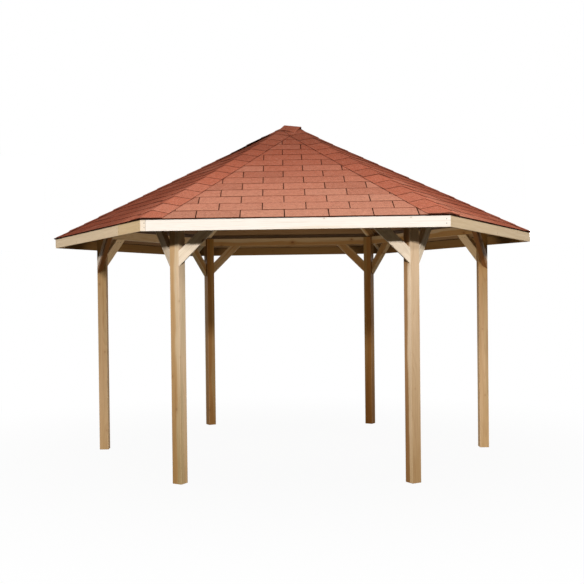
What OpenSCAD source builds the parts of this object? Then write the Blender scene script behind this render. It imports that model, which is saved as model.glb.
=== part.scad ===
// Six-sided open garden gazebo with timber posts and a shingled hipped roof.
// +Z is up, the floor is at Z = 0 and the middle of the gazebo is at the origin.
// Two corners lie on the X axis, and one flat side, the front, faces -Y.

/* [Plan] */
// Distance from the middle of the gazebo to the middle of each post
post_circle_r = 1880; // [1500:10:2600]
// Distance that the eaves corners lie outside the post centres
eaves_out = 470; // [250:10:700]

/* [Posts] */
// Height of the posts, which is also the top of the beams
post_h = 2195; // [1900:5:2800]
// Side of the square posts
post_w = 88; // [60:1:150]

/* [Beams and braces] */
// Depth of the beams between the posts
beam_d = 85; // [60:1:180]
// Thickness of the beams
beam_t = 45; // [28:1:60]
// Width of the face of each knee brace
brace_w = 88; // [50:1:120]
// Distance from the underside of the beam down to the tip of the brace
brace_reach = 357; // [250:1:600]

/* [Roof frame] */
// Slope of the six roof faces in degrees
roof_pitch = 28; // [18:0.5:40]
// Thickness of the hip rafters
rafter_t = 45; // [28:1:60]
// Depth of the hip rafters, square to their slope
rafter_d = 92; // [70:1:160]
// Depth of the level seat that each hip rafter has at the outer face of its post
seat_d = 16; // [0:1:40]
// Distance from the middle to the corners of the six-sided king block
king_r = 62; // [50:1:120]
// Distance that the king block hangs below the hip rafters
king_drop = 60; // [20:1:200]

/* [Roof covering] */
// Thickness of the roof boards
board_t = 18; // [12:1:28]
// Height of the fascia boards
fascia_h = 90; // [60:1:160]
// Thickness of the fascia boards
fascia_t = 20; // [15:1:30]
// Thickness of the shingle covering
shingle_t = 6; // [3:0.5:12]
// Distance that the shingles stand out past the fascia boards
shingle_out = 15; // [5:1:40]
// Distance from the middle to the corners of the flat top of the roof cap
cap_top_r = 90; // [40:1:150]
// Distance from the middle to the lower corners of the roof cap
cap_r = 340; // [200:5:500]
// Height of the flat top of the cap over the boards at the same place
cap_lift = 39; // [20:1:60]
// Thickness of the lower edge of the cap
cap_edge = 8; // [3:0.5:15]

/* [Hidden] */
CORNERS = ["right", "back_right", "back_left", "left", "front_left", "front_right"];
SIDES = ["back_right", "back", "back_left", "front_left", "front", "front_right"];

// A hexagon's flat sides are this share of its corner distance from the middle
flat_share = cos(30);
// Rise over run on a roof face, and along a hip
face_slope = tan(roof_pitch);
hip_slope = face_slope * flat_share;

// Plan distances, from the middle to a corner (_r) or square to a flat side (_a)
eaves_r = post_circle_r + eaves_out;
eaves_a = eaves_r * flat_share;
fascia_in_a = eaves_a - fascia_t;
post_out_r = post_circle_r + post_w / 2;
king_a = king_r * flat_share;

// The beams' outer faces meet the outer corner of the posts
beam_out_a = post_circle_r * flat_share + post_w / 2 * (cos(30) + sin(30));
beam_in_a = beam_out_a - beam_t;
beam_z = post_h - beam_d;

// Heights on the axis of the gazebo where the sloping planes would meet
rafter_under_z = post_h - seat_d + hip_slope * post_out_r;
boards_under_z = rafter_under_z + rafter_d / cos(atan(hip_slope));
boards_top_z = boards_under_z + board_t / cos(roof_pitch);
shingle_top_z = boards_top_z + shingle_t / cos(roof_pitch);

eaves_z = boards_top_z - hip_slope * eaves_r;
fascia_z = eaves_z - fascia_h;
cap_z = boards_top_z - hip_slope * cap_top_r + cap_lift;
cap_base_z = shingle_top_z - hip_slope * cap_r + cap_edge;
// The boards and shingles stop short of the peak, below the flat top of the cap
peak_cut_z = cap_z - shingle_t - board_t;
big = 4 * eaves_r;

module at_corner(i) {
    rotate([0, 0, 60 * i]) children();
}

module at_side(i) {
    rotate([0, 0, 60 * i + 30]) children();
}

// Straight six-sided prism whose flat sides are distance a from the middle
module prism(a, z0, z1) {
    translate([0, 0, z0]) cylinder(h = z1 - z0, r = a / flat_share, $fn = 6);
}

// Everything below the face plane of one side that meets the axis at height z
module below_plane(z) {
    translate([0, 0, z]) rotate([0, roof_pitch, 0])
        translate([-big, -big, -2 * big]) cube([2 * big, 2 * big, 2 * big]);
}

// Everything below all six face planes that meet the axis at height z
module below_roof(z) {
    intersection_for(i = [0:5]) at_side(i) below_plane(z);
}

// Half of the clear length between two posts, along a line at distance a from the middle
function bay_half(a) = a * tan(30) - post_w / 2 / flat_share;

// Plan of one bay between two posts, within the thickness of the beam
module bay_plan() {
    polygon([
        [beam_in_a, -bay_half(beam_in_a)], [beam_out_a, -bay_half(beam_out_a)],
        [beam_out_a, bay_half(beam_out_a)], [beam_in_a, bay_half(beam_in_a)]
    ]);
}

module post() {
    color("BurlyWood")
        translate([post_circle_r - post_w / 2, -post_w / 2, 0]) cube([post_w, post_w, post_h]);
}

module beam() {
    color("Tan") translate([0, 0, beam_z]) linear_extrude(beam_d) bay_plan();
}

// Knee brace at 45 degrees, mitred to the side of the post and cut level at the beam
module brace() {
    cut = brace_w * sqrt(2);
    past = beam_t;
    color("Peru") intersection() {
        translate([0, 0, beam_z - brace_reach]) linear_extrude(brace_reach) bay_plan();
        translate([beam_out_a + 1, bay_half(beam_out_a), beam_z]) rotate([90, 0, -90])
            linear_extrude(beam_t + 2)
                polygon([
                    [-past, -brace_reach - past], [brace_reach, 0],
                    [brace_reach - cut, 0], [-past, cut - brace_reach - past]
                ]);
    }
}

module hip_rafter() {
    function under(r) = rafter_under_z - hip_slope * r;
    seat_r = (rafter_under_z - post_h) / hip_slope;
    color("SaddleBrown") intersection() {
        rotate([90, 0, 0]) translate([0, 0, -rafter_t / 2]) linear_extrude(rafter_t)
            polygon([
                [king_a, under(king_a)], [seat_r, post_h], [post_out_r, post_h],
                [post_out_r, under(post_out_r)], [(rafter_under_z - fascia_z) / hip_slope, fascia_z],
                [eaves_r, fascia_z], [eaves_r, boards_top_z], [king_a, boards_top_z]
            ]);
        prism(fascia_in_a, fascia_z, boards_top_z);
        rotate([0, 0, 30]) below_plane(boards_under_z);
        rotate([0, 0, -30]) below_plane(boards_under_z);
    }
}

module king_block() {
    bottom = rafter_under_z - hip_slope * king_r - king_drop;
    top = boards_under_z - hip_slope * king_r;
    color("Sienna") rotate([0, 0, 30]) prism(king_a, bottom, top);
}

// Boarding of one roof face, mitred at the hips and cut plumb behind the fascia
module roof_boards() {
    half = fascia_in_a * tan(30);
    color("Peru") difference() {
        intersection() {
            translate([0, 0, fascia_z]) linear_extrude(peak_cut_z - fascia_z)
                polygon([[0, 0], [fascia_in_a, -half], [fascia_in_a, half]]);
            below_plane(boards_top_z);
        }
        below_plane(boards_under_z);
    }
}

module fascia() {
    color("Wheat") translate([0, 0, fascia_z]) linear_extrude(fascia_h)
        polygon([
            [fascia_in_a, -fascia_in_a * tan(30)], [eaves_a, -eaves_a * tan(30)],
            [eaves_a, eaves_a * tan(30)], [fascia_in_a, fascia_in_a * tan(30)]
        ]);
}

module shingle_roof() {
    color("Firebrick") difference() {
        intersection() {
            below_roof(shingle_top_z);
            prism(eaves_a + shingle_out, fascia_z, peak_cut_z);
        }
        below_roof(boards_top_z);
    }
}

// Layered cap over the peak: six sloping faces and a small flat top
module roof_cap() {
    color("Brown") difference() {
        translate([0, 0, cap_base_z])
            cylinder(h = cap_z - cap_base_z, r1 = cap_r, r2 = cap_top_r, $fn = 6);
        intersection() {
            below_roof(shingle_top_z);
            prism(eaves_a, fascia_z, peak_cut_z);
        }
    }
}

for (i = [0:5]) {
    at_corner(i) post();
    at_corner(i) hip_rafter();
    at_side(i) beam();
    at_side(i) mirror([0, 1, 0]) brace();
    at_side(i) brace();
    at_side(i) roof_boards();
    at_side(i) fascia();
}
king_block();
shingle_roof();
roof_cap();
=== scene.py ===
"""Garden gazebo: the looks around its packed timber frame and roof, in metres, floor at z = 0."""

import math
import random

import bmesh
import bpy
import numpy as np
from mathutils import Matrix, Vector


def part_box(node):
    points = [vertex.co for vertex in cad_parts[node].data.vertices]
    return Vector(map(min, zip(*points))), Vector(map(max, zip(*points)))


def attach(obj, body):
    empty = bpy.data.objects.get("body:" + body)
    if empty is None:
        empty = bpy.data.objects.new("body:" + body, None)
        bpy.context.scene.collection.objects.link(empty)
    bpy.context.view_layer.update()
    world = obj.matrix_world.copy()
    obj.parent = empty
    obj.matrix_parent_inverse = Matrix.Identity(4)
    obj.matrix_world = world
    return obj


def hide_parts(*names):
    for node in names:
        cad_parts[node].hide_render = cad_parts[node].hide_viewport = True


bl_info = {
    "name": "Garden Gazebo Maker",
    "version": (1, 0, 0),
    "blender": (4, 5, 0),
    "location": "View3D > Sidebar > Gazebo",
    "description": "Makes the timber, the boarding and the shingled roof of a six-sided gazebo",
    "category": "Object",
}

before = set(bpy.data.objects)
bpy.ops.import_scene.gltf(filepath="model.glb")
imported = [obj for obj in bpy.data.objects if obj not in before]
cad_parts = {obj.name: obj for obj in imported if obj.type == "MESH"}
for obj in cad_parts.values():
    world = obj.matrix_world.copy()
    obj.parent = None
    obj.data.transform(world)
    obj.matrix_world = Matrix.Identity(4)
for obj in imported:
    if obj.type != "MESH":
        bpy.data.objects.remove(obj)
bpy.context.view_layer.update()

CORNERS = ["right", "back_right", "back_left", "left", "front_left", "front_right"]
SIDES = ["back_right", "back", "back_left", "front_left", "front", "front_right"]
HEX_TAN = math.tan(math.radians(30))
HEX_COS = math.cos(math.radians(30))
UP = Vector((0.0, 0.0, 1.0))


# ---------------------------------------------------------------- places taken from the frame

def deck_plane():
    """Slope of a roof face and the heights on the axis of its boards' top and underside."""
    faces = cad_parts["roof_boards_back"].data.polygons
    top, under = (max(faces, key=lambda f: f.area * (f.normal.z * way > 0.5)) for way in (1, -1))
    slope = math.hypot(top.normal.x, top.normal.y) / top.normal.z
    return slope, *(face.center.z + slope * face.center.y for face in (top, under))


SLOPE, DECK_PEAK, UNDER_PEAK = deck_plane()
PITCH = math.atan(SLOPE)
PITCH_COS, PITCH_SIN = math.cos(PITCH), math.sin(PITCH)
FASCIA_IN, FASCIA_OUT = (corner.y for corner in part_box("fascia_back"))
FASCIA_LOW, EAVES_Z = (corner.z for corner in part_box("fascia_back"))
SHINGLE_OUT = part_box("shingle_roof")[1].y
POST_LOW, POST_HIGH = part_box("post_right")
POST_WIDTH = POST_HIGH.y - POST_LOW.y
BEAM_IN, BEAM_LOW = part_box("beam_back")[0].yz
PEAK_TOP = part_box("roof_cap")[1].z
HALF_SIDE = FASCIA_OUT * HEX_TAN

# Thickness of the felt of the hip caps, the peak cap and the strip at the eaves.
FELT_THICK = 0.0030
# The gap in a pieced fascia board, and where the front left one is pieced, from its middle.
KERF = 0.0014
SPLICE = HALF_SIDE * 0.57
# Distance from the middle of a timber to its pith, where the pith's way is chosen.
PITH_REACH = 0.055
# Points this close to a timber's outermost point lie on its outermost face.
FLUSH = 0.001


def side_angle(number):
    return math.radians(60 * number + 30)


def corner_angle(number):
    return math.radians(60 * number)


def flat(angle, reach=1.0):
    return Vector((math.cos(angle) * reach, math.sin(angle) * reach, 0.0))


def sides():
    """Number and name of each side, with its outward way and its level way."""
    for number, side in enumerate(SIDES):
        out = flat(side_angle(number))
        yield number, side, out, UP.cross(out)


def face_frame(number):
    """Axes of a roof face: x along the eaves, y up the slope, z out of the boards' top."""
    out = flat(side_angle(number))
    along = UP.cross(out)
    uphill = -out * PITCH_COS + UP * PITCH_SIN
    normal = out * PITCH_SIN + UP * PITCH_COS
    place = Matrix((along, uphill, normal)).transposed().to_4x4()
    place.translation = out * FASCIA_OUT + UP * EAVES_Z
    return place


def hip_frame(number):
    """Axes of a hip: x up the hip, y level across it, z square to both; starts at the eaves."""
    out = flat(corner_angle(number))
    rise = SLOPE * HEX_COS
    uphill = (-out + UP * rise).normalized()
    across = out.cross(UP)
    normal = uphill.cross(across)
    if normal.z < 0:
        across, normal = -across, -normal
    reach = FASCIA_OUT / HEX_COS
    place = Matrix((uphill, across, normal)).transposed().to_4x4()
    place.translation = out * reach + UP * (DECK_PEAK - rise * reach)
    return place


def hip_fold():
    """Cosine and sine of how far a roof face falls away beside its hip."""
    place = hip_frame(0).to_3x3()
    uphill, across, normal = place.col[0], place.col[1], place.col[2]
    face = face_frame(0).to_3x3().col[2]
    side = face.cross(uphill)
    if side.dot(flat(side_angle(0)).cross(UP)) > 0:
        side = -side
    return abs(side.dot(across)), abs(side.dot(normal))


def plan_reach(points):
    """Distance of points from the axis, square to the side that each lies on."""
    outs = np.array([flat(side_angle(k))[:2] for k in range(6)])
    return (points[:, :2] @ outs.T).max(axis=1)


# ---------------------------------------------------------------- settings

def size(label, text, value):
    return bpy.props.FloatProperty(
        name=label, description=text, default=value, min=0.0, unit="LENGTH", precision=4
    )


def colour(label, text, value):
    return bpy.props.FloatVectorProperty(
        name=label, description=text, default=value, min=0.0, max=1.0, size=3, subtype="COLOR"
    )


class GazeboSizes(bpy.types.PropertyGroup):
    """Sizes of what is added to the frame."""
    edge_round: size("Edge Round", "Rounding of the planed timber's edges", 0.003)
    board_cover: size("Board Cover", "Width of a roof board that shows from below", 0.096)
    board_groove: size("Board Groove", "Depth of the groove between roof boards", 0.006)
    tab_width: size("Tab Width", "Distance between the slits of a shingle", 0.338)
    tab_slit: size("Tab Slit", "Width of the slit between two tabs", 0.0085)
    course: size("Course", "Height of a course of shingles up the slope", 0.144)
    tab_thick: size("Tab Thickness", "Thickness of a shingle", 0.0030)
    cap_side: size("Cap Side", "Width of a hip cap on each side of the hip", 0.158)
    cap_course: size("Cap Course", "Part of each hip cap that shows along the hip", 0.162)
    bond_shift: size("Bond Start", "Place of the first slit left of the middle of a side", 0.075)
    nail_head: size("Nail Head", "Width of the nail heads in the fascia boards", 0.008)
    screw_head: size("Screw Head", "Width of the screw heads in the braces", 0.009)


class GazeboColours(bpy.types.PropertyGroup):
    """Colours of the finishes."""
    post_pale: colour("Post Pale", "Sapwood of the posts", (0.86, 0.68, 0.49))
    post_golden: colour("Post Golden", "Heartwood of the posts", (0.62, 0.42, 0.22))
    post_foot: colour("Post Foot", "How the wood darkens near the ground", (0.59, 0.50, 0.35))
    treated: colour("Treated Tint", "Grey-green of the pressure treatment", (0.60, 0.52, 0.34))
    frame_pale: colour("Frame Pale", "Sapwood of beams and braces", (0.73, 0.615, 0.49))
    frame_golden: colour("Frame Golden", "Heartwood of beams and braces", (0.54, 0.36, 0.18))
    # The roof boards are darker than the other wood, partly as stained wood and partly as painted
    # shade.
    board_pale: colour("Board Pale", "Pale wood of the roof boards", (0.33, 0.205, 0.105))
    board_golden: colour("Board Golden", "Golden wood of the roof boards", (0.22, 0.135, 0.060))
    fascia_pale: colour("Fascia Pale", "Pale wood of the fascia boards", (0.745, 0.695, 0.64))
    fascia_golden: colour("Fascia Golden", "Streaks of the fascia boards", (0.71, 0.63, 0.53))
    knot: colour("Knot", "Knots and pitch streaks", (0.24, 0.12, 0.055))
    # The shingle colours carry painted light: pale low down on the side towards -Y, darker near
    # the peak.
    shingle_low: colour("Shingle Low", "Granules of the lowest courses", (0.65, 0.275, 0.178))
    shingle_mid: colour("Shingle Middle", "Granules half way up", (0.56, 0.142, 0.076))
    shingle_high: colour("Shingle High", "Granules near the peak", (0.325, 0.083, 0.043))
    bitumen: colour("Bitumen", "Cut edges and undersides of the shingles", (0.036, 0.013, 0.009))
    steel: colour("Steel", "Nail and screw heads", (0.16, 0.13, 0.11))


def sizes():
    return bpy.context.scene.gazebo_sizes


def colours():
    return bpy.context.scene.gazebo_colours


# ---------------------------------------------------------------- node helpers

def node(tree, kind, inputs=None, **settings):
    """Adds a node; inputs maps a socket's name or number to a value or to another output."""
    made = tree.nodes.new(kind)
    for name, value in settings.items():
        setattr(made, name, value)
    for key, value in (inputs or {}).items():
        if isinstance(value, bpy.types.NodeSocket):
            tree.links.new(value, made.inputs[key])
        else:
            made.inputs[key].default_value = value
    return made


def calc(tree, operation, a, b=0.0, c=0.0, clamp=False):
    made = node(tree, "ShaderNodeMath", {0: a, 1: b, 2: c}, operation=operation, use_clamp=clamp)
    return made.outputs[0]


def times(tree, a, b):
    return calc(tree, "MULTIPLY", a, b)


def plus(tree, a, b):
    return calc(tree, "ADD", a, b)


def minus(tree, a, b):
    return calc(tree, "SUBTRACT", a, b)


def times_plus(tree, a, b, c, clamp=False):
    return calc(tree, "MULTIPLY_ADD", a, b, c, clamp)


def vector_calc(tree, operation, a, b=(0.0, 0.0, 0.0)):
    return node(tree, "ShaderNodeVectorMath", {0: a, 1: b}, operation=operation).outputs


def vector(tree, x=0.0, y=0.0, z=0.0):
    return node(tree, "ShaderNodeCombineXYZ", {0: x, 1: y, 2: z}).outputs[0]


def split(tree, source):
    return node(tree, "ShaderNodeSeparateXYZ", {0: source}).outputs


def blend(tree, share, a, b, mode="MIX"):
    """Mixes two colours; plain colours have three numbers."""
    a, b = (hue if isinstance(hue, bpy.types.NodeSocket) else (*hue, 1.0) for hue in (a, b))
    made = node(tree, "ShaderNodeMix", {0: share, 6: a, 7: b}, data_type="RGBA", blend_type=mode)
    return made.outputs[2]


def stain(tree, share, base, tint):
    """Multiplies a colour by another one, as a glaze over it does."""
    return blend(tree, share, base, tint, "MULTIPLY")


def span(tree, value, low, high, out_low=0.0, out_high=1.0, curve="SMOOTHSTEP"):
    """Maps a number from one range onto another and holds it there."""
    made = node(
        tree, "ShaderNodeMapRange",
        {0: value, 1: low, 2: high, 3: out_low, 4: out_high}, interpolation_type=curve,
    )
    return made.outputs[0]


def noise(tree, source, scale, detail=3.0, roughness=0.5, stretch=(1.0, 1.0, 1.0)):
    """Noise of so many spots a metre, stretched along an axis where its share is small."""
    placed = vector_calc(tree, "MULTIPLY", source, stretch)[0]
    made = node(
        tree, "ShaderNodeTexNoise",
        {"Vector": placed, "Scale": scale, "Detail": detail, "Roughness": roughness},
    )
    return made.outputs[0]


def object_place(tree):
    return tree.nodes.new("ShaderNodeTexCoord").outputs["Object"]


def length_of(tree, place):
    return vector_calc(tree, "LENGTH", place)["Value"]


def along_way(tree, place, way):
    """How far a place, or how much a direction, lies along a way."""
    return vector_calc(tree, "DOT_PRODUCT", place, way)["Value"]


def read(tree, name, output="Fac"):
    return node(tree, "ShaderNodeAttribute", attribute_name=name).outputs[output]


def new_material(name, roughness=0.6, specular=0.3):
    """A material with a Principled shader; returns it, its tree and the shader."""
    made = bpy.data.materials.new(name)
    made.use_nodes = True
    tree = made.node_tree
    shader = tree.nodes["Principled BSDF"]
    shader.inputs["Roughness"].default_value = roughness
    shader.inputs["Specular IOR Level"].default_value = specular
    return made, tree, shader


def surface(tree, shader, hue, roughness, height, strength, depth):
    """Gives a shader its colour, its roughness and the bump of its surface."""
    tree.links.new(hue, shader.inputs["Base Color"])
    tree.links.new(roughness, shader.inputs["Roughness"])
    made = node(
        tree, "ShaderNodeBump", {"Strength": strength, "Distance": depth, "Height": height}
    )
    tree.links.new(made.outputs[0], shader.inputs["Normal"])


# ---------------------------------------------------------------- finishes

def timber(kind, treated_share, rings=210.0, ring_depth=0.16, knot_size=0.055, knot_share=1.0,
           shade=(0.30, 0.20, 0.08)):
    """Planed softwood: golden heart and pale sapwood, streaks, rings, fibres, knots and tint.

    The attribute grain holds metres along, across and into the piece, from the pith; tone is the
    piece's own tone, partly painted shade, painted_gloom the painted shade of a face never in the
    sun, ruddy how red its heart is, worn marks its rounded edges, cut its ends.
    """
    made, tree, shader = new_material(kind + "_wood", 0.62, 0.10)
    hues = colours()
    pale, golden = getattr(hues, kind + "_pale"), getattr(hues, kind + "_golden")
    grain = read(tree, "grain", "Vector")
    along, across, deep = split(tree, grain)

    def waves(lengthwise, crosswise, detail=2.0, roughness=0.5):
        """Noise of so many spots a metre along the grain and across it."""
        return noise(tree, grain, 1.0, detail, roughness, (lengthwise, crosswise, crosswise))

    broad = waves(0.55, 19.0, 3.0, 0.55)
    narrow = waves(1.6, 70.0, 4.0, 0.6)
    fibre = waves(9.0, 620.0, 3.0, 0.6)
    wander = waves(1.5, 5.0, 3.0)
    tinge = waves(0.7, 13.0)
    ruddy = read(tree, "ruddy")
    radius = length_of(tree, vector(tree, 0.0, across, deep))
    # The heart's edge wanders along the piece, and streaks cross it.
    edge = radius
    for source, reach in ((wander, 0.085), (broad, 0.075), (narrow, 0.035)):
        edge = times_plus(tree, minus(tree, source, 0.5), reach, edge)
    sap = span(tree, edge, 0.036, 0.060)
    wood = blend(tree, sap, golden, pale)
    wood = stain(tree, times(tree, minus(tree, 1.0, sap), ruddy), wood, (0.50, 0.36, 0.26))
    # The treatment tints the sapwood next to the heart and runs out in patches.
    green = plus(tree, span(tree, edge, 0.115, 0.06, 0.0, 0.55),
                 span(tree, tinge, 0.46, 0.66, 0.0, 0.65))
    green = times(tree, green, times(tree, sap, treated_share))
    green = times(tree, green, times_plus(tree, ruddy, -2.0, 1.0, clamp=True))
    wood = blend(tree, green, wood, hues.treated)
    wood = stain(tree, span(tree, narrow, 0.52, 0.72, 0.0, 0.34), wood, golden)
    # Growth rings cut by the faces.
    ring = times_plus(tree, waves(0.8, 9.0), rings / 15.0, times(tree, radius, rings))
    late = span(tree, calc(tree, "FRACT", ring), 0.45, 1.0)
    wood = stain(tree, times(tree, late, ring_depth), wood, (0.40, 0.24, 0.12))
    # Knots: round cells scattered over the faces, darker rimmed.
    spot = vector(tree, times(tree, along, 0.75), plus(tree, across, deep))
    cells = node(
        tree, "ShaderNodeTexVoronoi", {"Vector": spot, "Scale": 4.2, "Randomness": 1.0},
        voronoi_dimensions="2D",
    )
    which = split(tree, cells.outputs["Color"])[0]
    grown = times(tree, plus(tree, which, 0.35), knot_size)
    inside = calc(tree, "DIVIDE", cells.outputs["Distance"], grown)
    core = span(tree, inside, 0.55, 1.0, 1.0, 0.0)
    halo = span(tree, inside, 0.8, 3.2, 1.0, 0.0)
    wood = stain(tree, times(tree, halo, 0.30 * knot_share), wood, golden)
    wood = blend(tree, times(tree, core, 0.72 * knot_share), wood, hues.knot)
    # Fibres, a post's darker foot, the piece's own tone with its painted shade, the painted shade
    # of faces never in the sun, the worn edges and the cut ends.
    wood = stain(tree, span(tree, fibre, 0.35, 0.75, 0.0, 0.18), wood, (0.30, 0.18, 0.09))
    if kind == "post":
        # A post is darker towards its foot.
        height = split(tree, object_place(tree))[2]
        height = times_plus(tree, minus(tree, waves(1.2, 16.0), 0.5), 1.2, height)
        toward_foot = span(tree, height, 0.0, 1.80, 0.98, 0.0, "LINEAR")
        wood = stain(tree, toward_foot, wood, hues.post_foot)
    # The tone is partly the wood's own and partly painted shade; painted_gloom is painted shade.
    wood = stain(tree, read(tree, "tone"), wood, shade)
    wood = stain(tree, read(tree, "painted_gloom"), wood, (0.42, 0.38, 0.40))
    wood = blend(tree, times(tree, read(tree, "worn"), 0.08), wood, (0.86, 0.76, 0.58))
    wood = stain(tree, times(tree, read(tree, "cut"), 0.45), wood, (0.42, 0.26, 0.12))
    relief = times_plus(tree, fibre, 0.6, times(tree, late, -0.25))
    relief = times_plus(tree, core, 0.8, relief)
    surface(tree, shader, wood, span(tree, narrow, 0.3, 0.7, 0.58, 0.78), relief, 0.35, 0.0006)
    return made


def shingle_finish():
    """Mineral granules on bitumen felt, with painted light and shade on the sides and up the roof.

    The attribute tone is each tab's own tone, felt how bare its felt is and how dark the painted
    shade in its slits is, cap marks the hip caps.
    """
    made, tree, shader = new_material("granule_shingle", 0.95, 0.0)
    hues = colours()
    place = object_place(tree)
    patch = noise(tree, place, 1.7, 2.0)
    height = times_plus(tree, patch, 0.16, split(tree, place)[2])
    tone = read(tree, "tone")
    facing = tree.nodes.new("ShaderNodeNewGeometry").outputs["Normal"]
    # 1 on the sides that face left and right of -Y.
    leftward = span(tree, along_way(tree, facing, (-0.866, -0.5, 0.0)), 0.30, 0.42)
    rightward = span(tree, along_way(tree, facing, (0.866, -0.5, 0.0)), 0.30, 0.42)
    # Painted light: the side towards -Y, which faces the key lamp, is paler near its eaves, and
    # the caps and sides less so.
    painted_sun = times_plus(tree, patch, 0.25, times(tree, split(tree, place)[1], -1.0))
    painted_sun = span(tree, painted_sun, 0.75, 2.15, curve="LINEAR")
    for mask, loss in ((read(tree, "cap"), -0.75), (leftward, -0.8), (rightward, -0.4)):
        painted_sun = times(tree, painted_sun, times_plus(tree, mask, loss, 1.0))
    skin = blend(tree, painted_sun, hues.shingle_mid, hues.shingle_low)
    # Darker towards the peak: painted fall-off of the light up the roof.
    skin = blend(tree, span(tree, height, EAVES_Z + 0.45, PEAK_TOP, curve="LINEAR"), skin,
                 hues.shingle_high)
    # Each tab's own tone, the single granules and a mottle over them.
    dark = span(tree, tone, 0.0, 0.4, 0.24, 0.0, "LINEAR")
    skin = stain(tree, dark, skin, (0.40, 0.32, 0.30))
    light = span(tree, tone, 0.70, 1.0, 0.0, 0.13, "LINEAR")
    skin = blend(tree, light, skin, (0.80, 0.46, 0.33))
    grit = node(tree, "ShaderNodeTexVoronoi", {"Vector": place, "Scale": 420.0})
    speck = split(tree, grit.outputs["Color"])[0]
    skin = blend(tree, span(tree, speck, 0.70, 0.95, 0.0, 0.45), skin, (0.16, 0.07, 0.05))
    skin = blend(tree, span(tree, speck, 0.25, 0.02, 0.0, 0.35), skin, (0.74, 0.50, 0.40))
    mottle = noise(tree, place, 34.0, 4.0, 0.65)
    skin = stain(tree, span(tree, mottle, 0.40, 0.68, 0.0, 0.30), skin, (0.52, 0.42, 0.38))
    # Painted shade: the lower half of the side that faces left of -Y is darker, most so at its far
    # end.
    sidelong = along_way(tree, place, (0.5, -0.866, 0.0))
    dim = times(tree, leftward, span(tree, height, EAVES_Z + 0.1, EAVES_Z + 0.9, 0.80, 0.24))
    dim = times(tree, dim, span(tree, sidelong, 0.1, 1.15, 1.0, 0.08))
    skin = stain(tree, dim, skin, (0.50, 0.46, 0.44))
    # Painted light: the side that faces right of -Y is brighter towards the front hip.
    sidelong = along_way(tree, place, (-0.5, -0.866, 0.0))
    skin = stain(tree, rightward, skin, span(tree, sidelong, -0.3, 1.0, 1.0, 1.40, "LINEAR"))
    # Bare bitumen on cut edges and undersides, and painted shade where the slits show.
    cut = read(tree, "felt")
    skin = blend(tree, cut, skin, hues.bitumen)
    relief = times_plus(tree, grit.outputs["Distance"], 0.9, mottle)
    surface(tree, shader, skin, span(tree, cut, 0.0, 1.0, 0.92, 0.6), relief, 0.45, 0.0012)
    return made


def felt_finish():
    """Bare bitumen felt with a little grit, for the strip under the lowest course."""
    made, tree, shader = new_material("eaves_felt", 0.85, 0.0)
    place = object_place(tree)
    grit = noise(tree, place, 260.0, 3.0)
    dust = noise(tree, place, 6.0, 3.0)
    skin = blend(tree, span(tree, grit, 0.45, 0.7, 0.0, 0.5), colours().bitumen,
                 (0.050, 0.024, 0.016))
    skin = blend(tree, span(tree, dust, 0.45, 0.75, 0.0, 0.35), skin, (0.08, 0.032, 0.020))
    surface(tree, shader, skin, span(tree, grit, 0.3, 0.7, 0.6, 0.85), grit, 0.4, 0.0008)
    return made


def steel_finish():
    """Dull galvanised steel with a few dark spots."""
    made, tree, shader = new_material("galvanised_steel", 0.45, 0.5)
    shader.inputs["Metallic"].default_value = 0.4
    spots = noise(tree, object_place(tree), 900.0, 3.0)
    skin = blend(tree, span(tree, spots, 0.45, 0.7), colours().steel, (0.12, 0.09, 0.07))
    surface(tree, shader, skin, span(tree, spots, 0.3, 0.7, 0.38, 0.6), spots, 0.2, 0.0002)
    return made


TIMBERS = {
    "post": {"treated_share": 0.75, "knot_size": 0.04, "knot_share": 0.4},
    "frame": {"treated_share": 0.4},
    "board": {"treated_share": 0.1, "ring_depth": 0.22},
    "fascia": {"treated_share": 0.0, "rings": 75.0, "ring_depth": 0.06, "knot_size": 0.030,
               "knot_share": 0.6, "shade": (0.70, 0.42, 0.02)},
}
COVERINGS = {"shingle": shingle_finish, "felt": felt_finish, "steel": steel_finish}
FINISHES = {}


def finish_of(name):
    """The material of that name, made when it is first asked for."""
    if name not in FINISHES:
        FINISHES[name] = timber(name, **TIMBERS[name]) if name in TIMBERS else COVERINGS[name]()
    return FINISHES[name]


# ---------------------------------------------------------------- mesh helpers

def vertex_array(mesh):
    points = np.zeros(len(mesh.vertices) * 3, np.float32)
    mesh.vertices.foreach_get("co", points)
    return points.reshape(-1, 3).astype(float)


def put_vertices(mesh, points):
    mesh.vertices.foreach_set("co", np.asarray(points, np.float32).ravel())
    mesh.update()


def write_points(mesh, name, values, kind="FLOAT"):
    """Writes one value, or one vector, for each vertex."""
    layer = mesh.attributes.get(name) or mesh.attributes.new(name, kind, "POINT")
    key = "vector" if kind == "FLOAT_VECTOR" else "value"
    layer.data.foreach_set(key, np.asarray(values, np.float32).ravel())


def fill_points(mesh, name, value):
    """Writes the same value for every vertex."""
    write_points(mesh, name, np.full(len(mesh.vertices), value))


def write_grain(mesh, along, across, seed, tone, heart, ruddy):
    """Wood coordinates of a piece, with a pith of its own beside or inside the section.

    heart is the way from the middle of the piece to its pith.
    """
    draw = random.Random(seed)
    along = Vector(along).normalized()
    across = Vector(across).normalized()
    axes = np.array([along, across, along.cross(across)])
    points = vertex_array(mesh)
    points = (points - points.mean(axis=0)) @ axes.T
    turn = draw.uniform(0, 2 * math.pi)
    pith = draw.uniform(0.03, 0.09)
    shift = np.array([draw.uniform(-40, 40), pith * math.cos(turn), pith * math.sin(turn)])
    if heart is not None:
        shift[1:] = -PITH_REACH * (axes[1:] @ np.array(Vector(heart).normalized()))
    write_points(mesh, "grain", points + shift, "FLOAT_VECTOR")
    fill_points(mesh, "tone", tone)
    fill_points(mesh, "ruddy", ruddy)


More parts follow.
